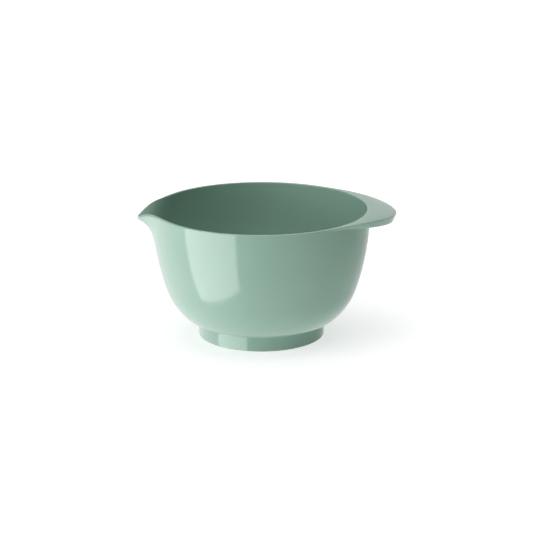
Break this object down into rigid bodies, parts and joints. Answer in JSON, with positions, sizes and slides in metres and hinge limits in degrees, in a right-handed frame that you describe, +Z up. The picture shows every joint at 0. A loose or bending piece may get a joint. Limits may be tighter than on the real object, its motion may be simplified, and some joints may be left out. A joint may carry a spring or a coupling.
{
  "type": "mixing bowl",
  "caption": "Deep round mixing bowl with a pouring spout, a flange grip with a turned-down edge, and a foot with a non-slip ring.",
  "frame": {"origin": "on the surface the bowl stands on, under the middle of its overall length and width; the round bowl's own axis is at x = -5.6 mm", "axes": "+X from the spout to the grip, +Z up, the bowl is symmetric about the plane y = 0"},
  "size_m": [0.2867, 0.24, 0.145],
  "materials": {
    "melamine": "gloss",
    "ring_rubber": "matte"
  },
  "bodies": {
    "bowl": {"bowl_body": "melamine"},
    "ring": {"non_slip_ring": "ring_rubber"}
  },
  "joints": [
    {"name": "ring_pull_off", "type": "slide", "parent": "bowl", "child": "ring", "axis": [0, 0, -1], "range_m": [0, 0.02]}
  ]
}
